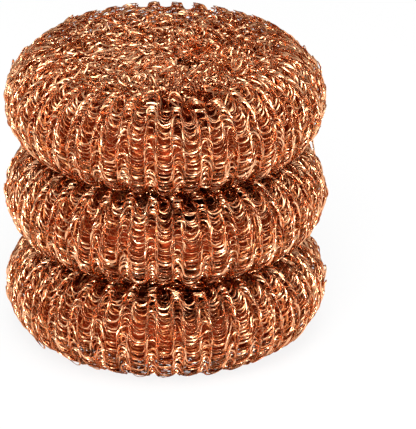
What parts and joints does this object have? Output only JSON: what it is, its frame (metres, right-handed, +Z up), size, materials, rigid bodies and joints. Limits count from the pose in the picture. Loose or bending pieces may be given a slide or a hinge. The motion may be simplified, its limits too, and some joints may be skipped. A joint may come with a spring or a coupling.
{
  "type": "pot scrubber set",
  "caption": "Stack of round knitted copper pot scrubbers, each a ribbed roll of flat-wire mesh with a dimple in the middle of each face.",
  "frame": {"origin": "centre of the ring-shaped face that the lowest pad rests on", "axes": "+Z up along the axis that the pads share; the pads are round, so X and Y are free, with -Y towards the viewer of the picture"},
  "size_m": [0.0898, 0.0898, 0.0831],
  "materials": {
    "copper_knit": "bright flat copper wire, knitted in loops that stand on edge",
    "rolled_knit": "the same copper knit, packed and in shade",
    "gathered_knit": "the same copper knit, bunched in pleats",
    "ring_wire": "plain drawn copper-coloured wire"
  },
  "bodies": {
    "bottom_pad": {"bottom_pad_outer_turn": "copper_knit", "bottom_pad_inner_roll": "rolled_knit", "bottom_pad_gathered_tail": "gathered_knit", "bottom_pad_tie_ring": "ring_wire"},
    "middle_pad": {"middle_pad_outer_turn": "copper_knit", "middle_pad_inner_roll": "rolled_knit", "middle_pad_gathered_tail": "gathered_knit", "middle_pad_tie_ring": "ring_wire"},
    "top_pad": {"top_pad_outer_turn": "copper_knit", "top_pad_inner_roll": "rolled_knit", "top_pad_gathered_tail": "gathered_knit", "top_pad_tie_ring": "ring_wire"}
  },
  "joints": [
    {"name": "middle_pad_lift", "type": "slide", "parent": "bottom_pad", "child": "middle_pad", "axis": [0, 0, 1], "range_m": [0, 0.04]},
    {"name": "top_pad_lift", "type": "slide", "parent": "middle_pad", "child": "top_pad", "axis": [0, 0, 1], "range_m": [0, 0.04]}
  ]
}
